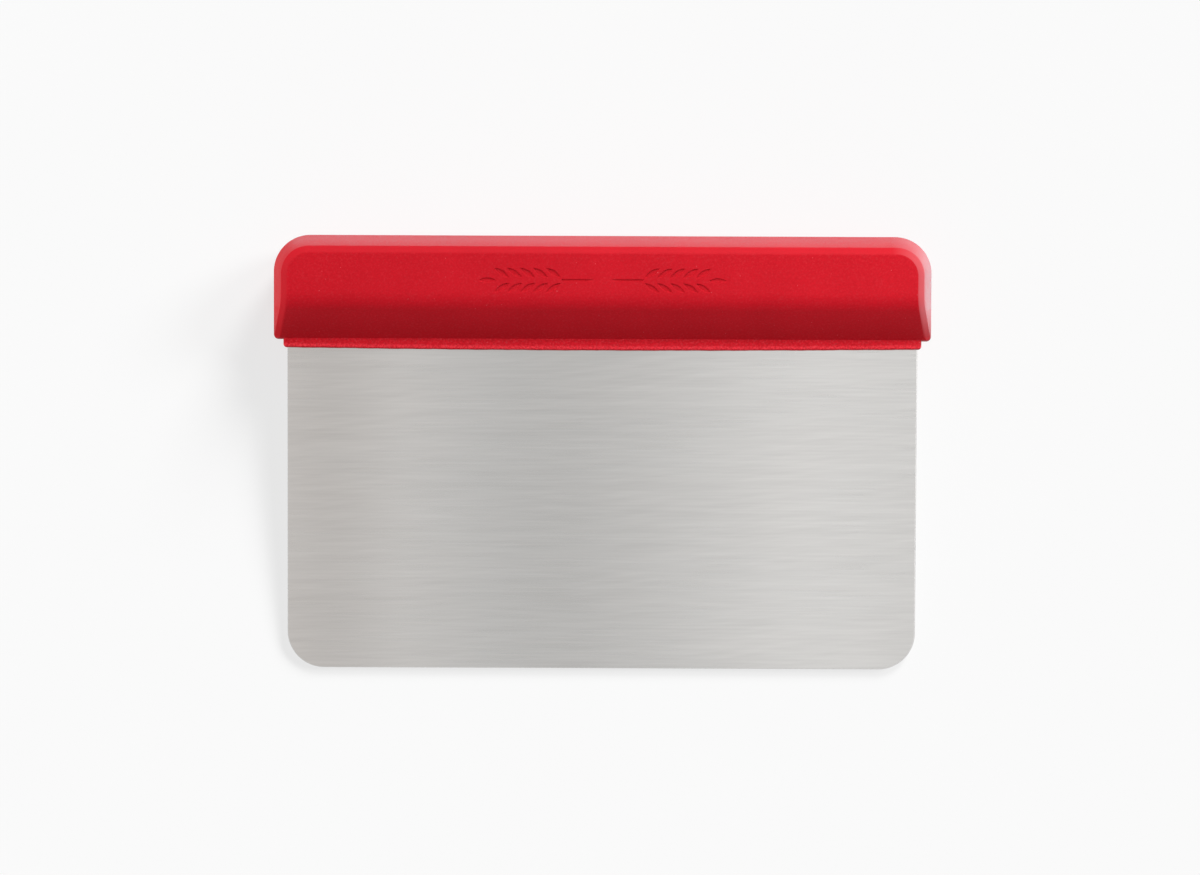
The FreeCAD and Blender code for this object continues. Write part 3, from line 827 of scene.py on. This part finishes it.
def add_softbox(name, azimuth, elevation, distance, size, strength, group):
    """A square softbox near the scraper, that far away, facing it. Strength is its radiance."""
    made = add_lamp(name, "AREA", strength * math.pi * size**2, group, size=size)
    made.location = towards(azimuth, elevation) * distance
    made.rotation_euler = towards(azimuth, elevation).to_track_quat("Z", "Y").to_euler()


def add_glow(name, middle, size, strength, group, colour):
    """A strip just above the table that glows upwards. Strength is its radiance."""
    energy = strength * math.pi * size[0] * size[1]
    made = add_lamp(name, "AREA", energy, group, colour, shape="RECTANGLE", size=size[0], size_y=size[1])
    made.location = middle
    made.rotation_euler = (math.pi, 0, 0)


def light_scraper(scraper, sheet, handle):
    """A softbox for all of it, and an even sky for the sheet. For the handle, a softbox and soft light
    from behind, soft light from both sides, and two glowing strips beside its walls. The left light is
    reddened to keep the left wall deep, and the strips are cyan, which makes walls paler, not redder."""
    add_sky("steel_sky", 0, 90, 170, 2.2, sheet)
    add_softbox("overhead_right", 0, 60, 0.50, 0.20, 2.2, scraper)
    add_softbox("key", 50, 38, 0.60, 0.30, 8.2, handle)
    add_sky("behind", 90, 45, 50, 0.75, handle)
    add_sky("left", 180, 24, 50, 2.2, handle, (1, 0.68, 0.72))
    add_sky("right", 0, 24, 50, 0.7, handle)
    side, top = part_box("grip")[1].x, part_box("grip")[1].y
    middle = (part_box("grip")[0].y + top) / 2
    away, above = 0.02, 0.0002  # how far each strip is from the grip, and above the table
    right, behind = (side + away, middle, above), (0, top + away, above)
    add_glow("right_glow", right, (0.036, 0.05), 3.6, handle, (0.1, 1, 1))
    add_glow("back_glow", behind, (0.16, 0.036), 2.3, handle, (0.2, 0.97, 1))


def light_table(group):
    """The part of the table's light that the scraper shades, mostly from the side that the key is on.
    share is how much of the table's tone each light gives."""
    for azimuth, elevation, width, share in TABLE_LIGHTS:
        falls = math.sin(math.radians(elevation)) * TABLE_ALBEDO / math.pi
        add_sky("table_sky", azimuth, elevation, width, share * TABLE_TONE / falls, group)


def make_world():
    world = bpy.data.worlds.new("world")
    world.use_nodes = True
    background = world.node_tree.nodes["Background"]
    background.inputs["Color"].default_value = (1, 1, 1, 1)
    background.inputs["Strength"].default_value = ROOM_TONE
    bpy.context.scene.world = world


blade = make_blade()
dress_blade(blade)
grip = make_grip()
dress_grip(grip)
core = core_plastic()
for node, material in (("core_front", core), ("core_rear", core), ("tang_rivets", rivet_metal())):
    frame["nodes"][node].data.materials.clear()
    frame["nodes"][node].data.materials.append(material)
floor = make_floor()
make_camera()
handle = [grip, *frame["nodes"].values()]
light_scraper(only_for("scraper", blade, *handle), only_for("sheet", blade), only_for("handle", *handle))
light_table(only_for("table", floor))
make_world()
bpy.context.scene.view_settings.view_transform = "Standard"
